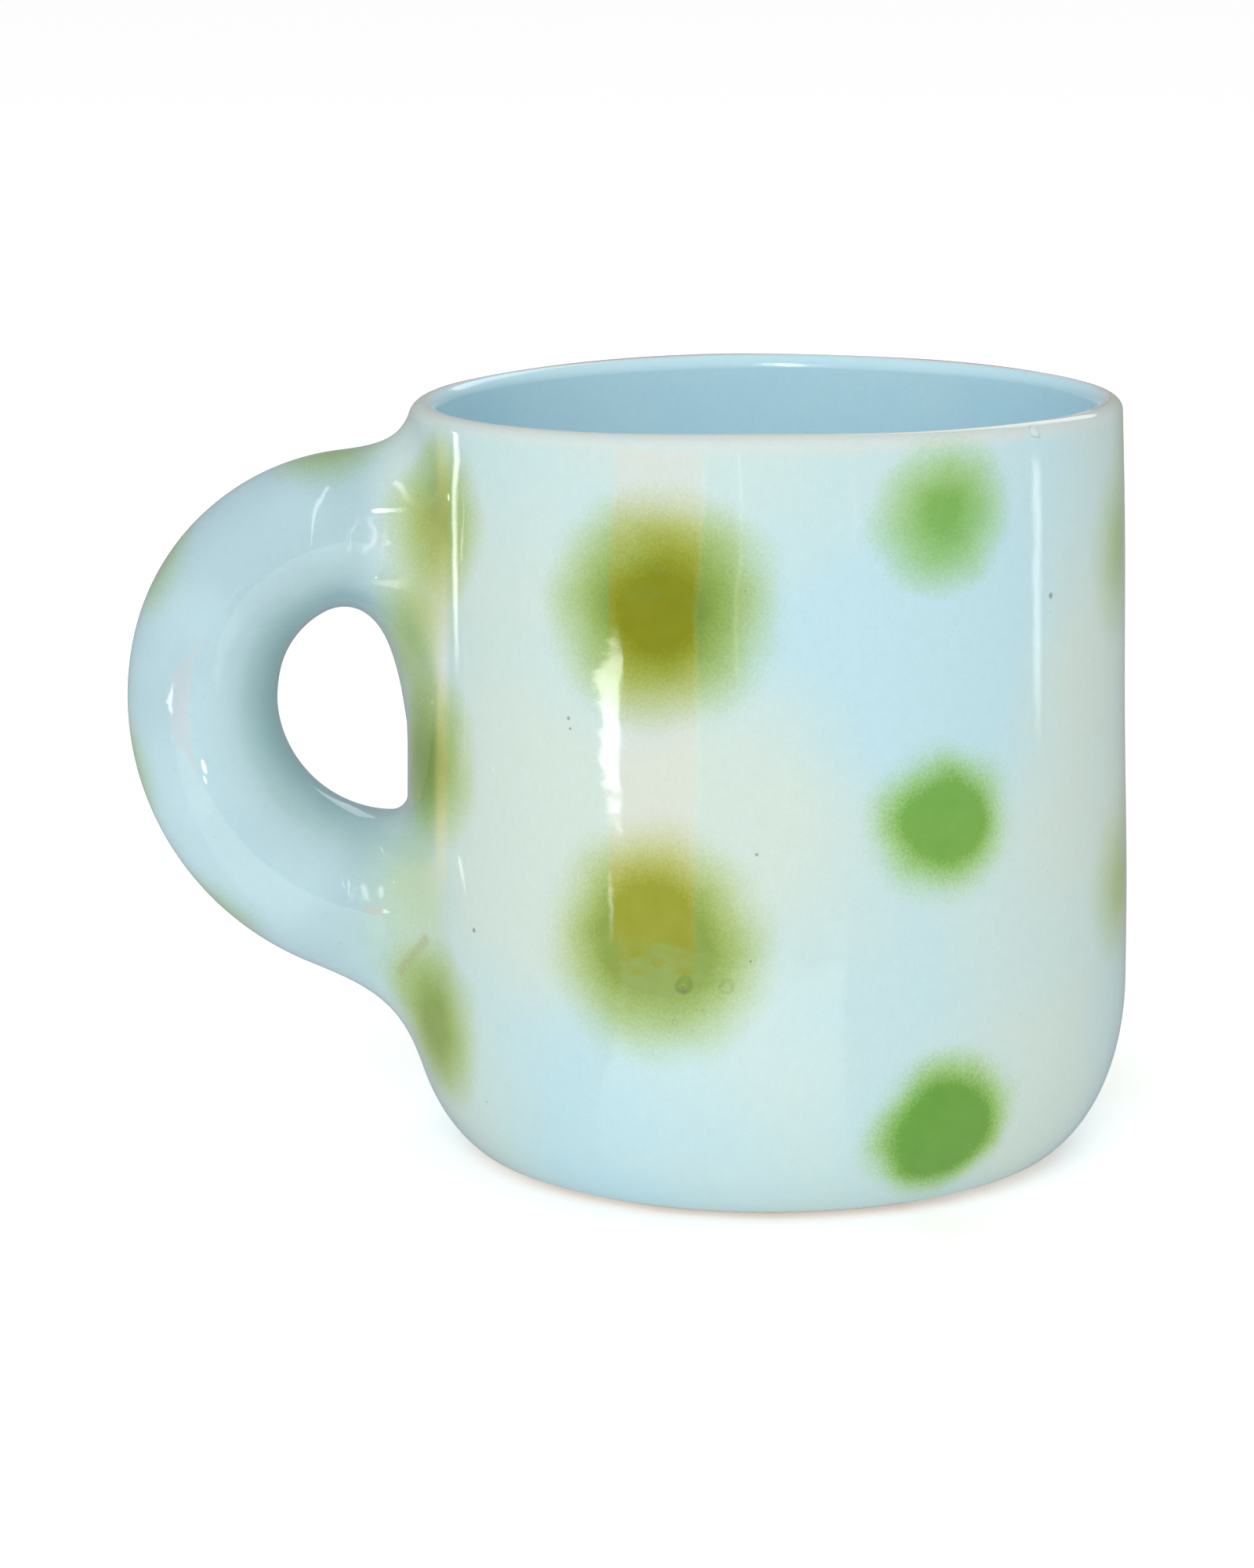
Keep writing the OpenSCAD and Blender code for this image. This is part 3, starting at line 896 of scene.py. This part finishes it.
outer = [tuple(p) for p in outline()[0]]
outer = [p for i, p in enumerate(outer) if p[1] > 0.05 and (i % 12 == 0 or p[1] < 1)]
clay_outline = foot_outline() + outer + inner_outline(0.0)
points, faces, loops = turned(clay_outline)
r, turn = polar(points)
r = np.maximum(r, 1e-6)
under = (points[:, 2] > RECESS_H - 0.3) & (points[:, 2] < RECESS_H + 0.01) & (r < FOOT_R - FOOT_W)
grooves = TOOL_MARK_H * np.sin(2 * math.pi * r / TOOL_MARK_STEP + turn) * smooth(r / 3)
points[:, 2] += np.where(under, grooves, 0)
on_outside = np.zeros(len(points))
for loop in loops[len(foot_outline()):len(foot_outline()) + len(outer)]:
    on_outside[loop] = 1
swell = on_outside * unevenness(turn, points[:, 2])
points[:, :2] *= (1 + swell / r)[:, None]
clay = add_piece("clay_vessel", dip_rim(points), faces, clay_material)
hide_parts("clay_body")

# ---- Materials of the clay pieces under the coat ----

for names, material in (
    (("handle", "upper_collar", "lower_collar"), clay_material),
    (("upper_slip_seam", "lower_slip_seam"), slip_material),
):
    for name in names:
        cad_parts[name].data.materials.clear()
        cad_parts[name].data.materials.append(material)

# ---- Camera ----

SENSOR_WIDTH = 36.0
LENS = 95.2
CAMERA_TURN = math.radians(-5)      # round the mug, from straight in front of it
CAMERA_AWAY = 505.6
CAMERA_UP = 153.7
LOOK_ASIDE = 0.0342     # how far beside the mug's axis the camera looks
PITCH = 0.2119
ROLL = 0.0068

scene = bpy.context.scene
camera_data = bpy.data.cameras.new("camera")
camera_data.sensor_width = SENSOR_WIDTH
camera_data.lens = LENS
camera = put_in_scene("camera", camera_data)
scene.camera = camera
heading = -CAMERA_TURN - LOOK_ASIDE
level = math.cos(PITCH)
forward = Vector((math.sin(heading) * level, math.cos(heading) * level, -math.sin(PITCH)))
side = Vector((math.cos(heading), -math.sin(heading), 0))
top = side.cross(forward)
right = side * math.cos(ROLL) - top * math.sin(ROLL)
up = side * math.sin(ROLL) + top * math.cos(ROLL)
turn = Matrix((right, up, -forward)).transposed().to_4x4()
place = Vector((CAMERA_AWAY * math.sin(CAMERA_TURN), -CAMERA_AWAY * math.cos(CAMERA_TURN), CAMERA_UP)) * MM
camera.matrix_world = Matrix.Translation(place) @ turn

scene.view_settings.view_transform = "Standard"
camera_place = np.array(place) / MM

# ---- Floor, light and what the glaze mirrors ----

FLOOR_HALF = 9.0
FLOOR_LEVEL = -0.00002  # just under the foot, so that the two don't lie in one plane
FLOOR_GLOW = 0.28


def show_front(tree, shader, share):
    """Shows a shader by its share, and only from the front. The share is a socket or a number."""
    side = tree.nodes.new("ShaderNodeNewGeometry")
    front = tree.nodes.new("ShaderNodeMath")
    front.operation = "SUBTRACT"
    front.use_clamp = True
    if isinstance(share, bpy.types.NodeSocket):
        tree.links.new(share, front.inputs[0])
    else:
        front.inputs[0].default_value = share
    clear = tree.nodes.new("ShaderNodeBsdfTransparent")
    mix = tree.nodes.new("ShaderNodeMixShader")
    tree.links.new(side.outputs["Backfacing"], front.inputs[1])
    tree.links.new(front.outputs[0], mix.inputs[0])
    tree.links.new(clear.outputs[0], mix.inputs[1])
    tree.links.new(shader.outputs[0], mix.inputs[2])
    tree.links.new(mix.outputs[0], tree.nodes["Material Output"].inputs["Surface"])


def floor_white():
    """Matt white paper, a little brighter than the light on it makes it, and clear from below."""
    material = bpy.data.materials.new("floor_white")
    material.use_nodes = True
    shader = material.node_tree.nodes["Principled BSDF"]
    shader.inputs["Base Color"].default_value = (0.9, 0.9, 0.9, 1)
    shader.inputs["Roughness"].default_value = 0.9
    shader.inputs["Specular IOR Level"].default_value = 0.0
    shader.inputs["Emission Color"].default_value = (1, 1, 1, 1)
    shader.inputs["Emission Strength"].default_value = FLOOR_GLOW
    show_front(material.node_tree, shader, 1.0)
    return material


floor_mesh = bpy.data.meshes.new("floor")
corners = [(FLOOR_HALF * x, FLOOR_HALF * y, FLOOR_LEVEL) for x, y in ((-1, -1), (1, -1), (1, 1), (-1, 1))]
floor_mesh.from_pydata(corners, [], [(0, 1, 2, 3)])
floor_mesh.materials.append(floor_white())
floor = put_in_scene("floor", floor_mesh)
floor.visible_glossy = False

SKY = 0.78              # what the world lights the mug with
ROOM = (0.88, 0.94, 0.98)   # what the glaze mirrors of it
ROOM_FADE = (-0.3, 0.9, 1.03, 0.4)     # between these two values of Y, the room fades between these strengths

world = bpy.data.worlds.new("studio")
scene.world = world
world.use_nodes = True
tree = world.node_tree
background = tree.nodes["Background"]
background.inputs["Color"].default_value = (1, 1, 1, 1)
background.inputs["Strength"].default_value = SKY
room = tree.nodes.new("ShaderNodeBackground")
room.inputs["Color"].default_value = (*ROOM, 1)
direction = tree.nodes.new("ShaderNodeTexCoord")
axes = tree.nodes.new("ShaderNodeSeparateXYZ")
room_light = tree.nodes.new("ShaderNodeMapRange")
for name, value in zip(RANGE_INPUTS, ROOM_FADE):
    room_light.inputs[name].default_value = value
tree.links.new(direction.outputs["Generated"], axes.inputs[0])
tree.links.new(axes.outputs[1], room_light.inputs["Value"])
tree.links.new(room_light.outputs["Result"], room.inputs["Strength"])
kind_of_ray = tree.nodes.new("ShaderNodeLightPath")
choose = tree.nodes.new("ShaderNodeMixShader")
tree.links.new(kind_of_ray.outputs["Is Glossy Ray"], choose.inputs[0])
tree.links.new(background.outputs[0], choose.inputs[1])
tree.links.new(room.outputs[0], choose.inputs[2])
tree.links.new(choose.outputs[0], tree.nodes["World Output"].inputs["Surface"])


def soft_box(name, place, size, energy, seen_in_glaze):
    """A square area light that faces the mug."""
    lamp = bpy.data.lights.new(name, "AREA")
    lamp.energy = energy
    lamp.size = size
    box = put_in_scene(name, lamp)
    box.location = place
    box.rotation_euler = (Vector((0, 0, 0.05)) - box.location).to_track_quat("-Z", "Y").to_euler()
    box.visible_glossy = seen_in_glaze


soft_box("key", (-0.45, -1.5, 0.95), 1.0, 13, False)
soft_box("back", (0.7, 1.4, 1.1), 0.8, 3, True)


def mirrored(points, normals):
    """The ways in which the camera's view of points goes on after the glaze mirrors it."""
    look = unit(points - camera_place)
    return look - 2 * (look * normals).sum(axis=1)[:, None] * normals


def wall_normal(turn, z):
    low = np.array(wall_place(turn, z - 0.5))
    high = np.array(wall_place(turn, z + 0.5))
    round_it = np.array([math.sin(math.radians(turn)), -math.cos(math.radians(turn)), 0])
    normal = np.cross(round_it, high - low)
    return normal / np.linalg.norm(normal)


def glowing(name, colour, strength):
    """Light from the front of a card, which fades out towards its edges."""
    material = bpy.data.materials.new(name)
    material.use_nodes = True
    tree = material.node_tree
    tree.nodes.remove(tree.nodes["Principled BSDF"])
    emission = tree.nodes.new("ShaderNodeEmission")
    emission.inputs["Color"].default_value = (*colour, 1)
    emission.inputs["Strength"].default_value = strength
    share = tree.nodes.new("ShaderNodeAttribute")
    share.attribute_name = "glow"
    show_front(tree, emission, share.outputs["Fac"])
    return material


def light_card(name, grid, target, glow, colour, strength):
    """A sheet of light that only the glaze sees. grid holds rows of points in millimetres, and
    the sheet's front faces the target point."""
    grid = np.array(grid)
    rows, columns = len(grid), len(grid[0])
    facing = np.cross(grid[-1, 1] - grid[-2, 0], grid[-1, 0] - grid[-2, 1])
    glow = np.array(glow, float)
    if np.dot(facing, target - grid[-1, 0]) < 0:
        grid = grid[:, ::-1]
        glow = glow[:, ::-1]
    mesh = bpy.data.meshes.new(name)
    points = (grid.reshape(-1, 3) * MM).tolist()
    faces = [
        (r * columns + c, r * columns + c + 1, (r + 1) * columns + c + 1, (r + 1) * columns + c)
        for r in range(rows - 1) for c in range(columns - 1)
    ]
    mesh.from_pydata(points, [], faces)
    layer = mesh.attributes.new("glow", "FLOAT", "POINT")
    layer.data.foreach_set("value", glow.ravel())
    mesh.materials.append(glowing(name, colour, strength))
    card = put_in_scene(name, mesh)
    card.visible_camera = False
    card.visible_diffuse = False
    card.visible_shadow = False
    card.visible_transmission = False


def wall_card(name, rows, colour, strength, edge=0.2, ends=(0.0, 0.0), away=600.0):
    """A card that the wall mirrors to the camera. Each row is the height, the two turns that it
    lies between and, if it isn't full, its glow. The wall's mean lean there is allowed for, and
    its waves are left to bend the picture."""
    shares = (0, edge, 1 - edge, 1)
    turns = [[left + (right - left) * share for share in shares] for z, left, right, *own in rows]
    places = [(turn, row[0]) for row, line in zip(rows, turns) for turn in line]
    points = np.array([wall_place(*place) for place in places])
    ideal = np.array([wall_normal(*place) for place in places])
    real = unit(gradient(settle_on_surface(points)))
    normals = unit(ideal + (real - ideal).mean(axis=0))
    grid = np.reshape(points + away * mirrored(points, normals), (len(rows), len(shares), 3))
    glow = []
    for i, (z, left, right, *own) in enumerate(rows):
        full = ends[0] if i == 0 else ends[1] if i == len(rows) - 1 else (own[0] if own else 1.0)
        glow.append([0.0, full, full, 0.0])
    light_card(name, grid, points.mean(axis=0), glow, colour, strength)


SKIN_COLUMNS = 4
SKIN_Y = -12.0          # a place in front of the handle, from which points settle onto it


def skin_card(name, rows, strength, away=7.0):
    """A card close in front of the handle, which mirrors it to the camera. Each row is the
    height and the x of its left and right edges."""
    grid = []
    for z, left, right in rows:
        x = np.linspace(left, right, SKIN_COLUMNS)
        points = settle_on_surface(np.array([(place, SKIN_Y, z) for place in x]))
        grid.append(points + away * mirrored(points, unit(gradient(points))))
    glow = np.zeros((len(rows), SKIN_COLUMNS))
    glow[1:-1, 1:-1] = 1.0
    light_card(name, grid, points[0], glow, WHITE, strength)


def round_card(name, point, normal, size, strength, away, tall=1.0):
    """A round or, if tall isn't 1, an oval card that one point of the glaze mirrors to the camera."""
    ray = mirrored(point[None], normal[None])[0]
    middle = point + away * ray
    side = np.cross(ray, (0, 0, 1))
    side /= np.linalg.norm(side)
    upward = np.cross(side, ray)
    angles = np.linspace(0, 2 * math.pi, 25)
    grid = [
        [middle + size * share * (math.cos(a) * side + tall * math.sin(a) * upward) for a in angles]
        for share in (0.0, 0.75, 1.0)
    ]
    glow = [[1.0] * len(angles), [1.0] * len(angles), [0.0] * len(angles)]
    light_card(name, grid, point, glow, WHITE, strength)


WHITE = (1.0, 1.0, 1.0)
CREAMY = (1.0, 0.99, 0.95)
WARM = (1.0, 0.2, 0.03)
PEACH = (1.0, 0.74, 0.52)
ORANGE = (1.0, 0.7, 0.5)
MINT = (0.97, 1.0, 0.98)

wall_card("doorway", [
    (91, 61.3, 75), (88, 61.3, 75), (37.2, 61.3, 75), (36, 64.5, 75), (33.6, 68.5, 75), (33.4, 70, 75),
], WARM, 2.4, edge=0.04, ends=(0.0, 1.0))
wall_card("doorway_line", [(92, 74.3, 75.7), (85, 74.3, 75.7), (33.4, 74.3, 75.7)], ORANGE, 2.6, 0.3)
wall_card("flame", [
    (75, 62.3, 63.0), (69.5, 60.5, 63.4), (66.5, 59.0, 63.4), (63.2, 57.4, 63.0), (61.5, 58.8, 62.8),
    (58, 59.6, 62.5), (54.5, 60.0, 63.0), (52.3, 60.9, 63.4), (50, 62.7, 64.0),
], CREAMY, 11, edge=0.12, away=590.0)
wall_card("table_front", [
    (36.8, 61.4, 63.2), (35.4, 62.0, 67.5), (33.4, 62.3, 84, 1.0), (33.0, 62.5, 97, 1.0), (20, 60, 97, 0.8),
    (6, 58, 97),
], MINT, 2.1, edge=0.03, ends=(1.0, 0.0))
wall_card("white_streak", [(42.3, 61.0, 61.8), (40, 60.9, 62), (37.2, 61.2, 61.9)], WHITE, 9, 0.3, (0.5, 0.3),
          away=590.0)
wall_card("left_line", [
    (93.5, 27.3, 29.4), (90.5, 27.1, 29.2), (87, 27.7, 30.0), (83.5, 27.1, 29.2), (72, 27.3, 29.4),
    (61, 27.6, 29.6),
], WHITE, 6, 0.4, (0.6, 0.0), away=20.0)
wall_card("left_warmth", [
    (93, 20, 26.5), (88, 20, 26.5), (74, 20, 26.5), (60, 20, 26.5), (40, 20, 26.5), (30, 20, 25),
], PEACH, 1.4, 0.35, away=8.0)
wall_card("right_streak", [(91.8, 129, 131.8), (88, 129, 131.8), (64, 129.2, 131.8), (57.5, 129.6, 131.4)],
          WHITE, 4.2, 0.4)
wall_card("right_thin_line", [(91, 97.6, 98.5), (80, 97.6, 98.5), (72, 97.6, 98.4)], WHITE, 2.0, 0.4)
wall_card("middle_thin_line", [(91, 80.4, 81.4), (80, 80.4, 81.4), (70, 80.4, 81.3)], WHITE, 3.0, 0.4)

skin_card("upper_streak", [
    (81.8, -49.7, -49.0), (80.5, -49.8, -49.0), (76.5, -50.2, -49.3), (75.6, -50.2, -49.5),
], 5)
skin_card("upper_short_streak", [
    (79.6, -47.9, -47.2), (78.6, -48.0, -47.1), (77.2, -48.2, -47.2), (76.6, -48.1, -47.5),
], 3.5)
skin_card("lower_streak", [
    (36.6, -50.9, -50.1), (35.9, -50.9, -50.0), (34.2, -50.4, -49.6), (33.4, -50.3, -49.7),
], 7)
skin_card("lower_short_streak", [
    (36.2, -48.9, -48.3), (35.6, -49.0, -48.1), (34.4, -48.8, -48.1), (33.9, -48.6, -48.2),
], 6)

lamps = settle_on_surface(np.array([[-69.2, -9.3, 50.3], [-69.1, -9.3, 48.6], [-44.5, -10.3, 81.4]]))
lamp_normals = unit(gradient(lamps))
for i, (size, strength, away) in enumerate(((1.0, 20, 12.0), (0.6, 14, 12.0), (0.5, 16, 5.0))):
    round_card("lamp_%d" % i, lamps[i], lamp_normals[i], size, strength, away)
FAR_TURN = math.radians(261)
FAR_TILT = math.radians(16)
far_out = np.array([math.cos(FAR_TURN), math.sin(FAR_TURN), 0])
far_normal = math.cos(FAR_TILT) * far_out + math.sin(FAR_TILT) * np.array([0, 0, 1])
far_point = -(CLAY_RIM_R - LIP_R) * far_out + LIP_Z * np.array([0, 0, 1]) + (LIP_R + GLAZE_T) * far_normal
round_card("lamp_far", far_point, far_normal, 0.5, 26, 30.0, tall=18.0)
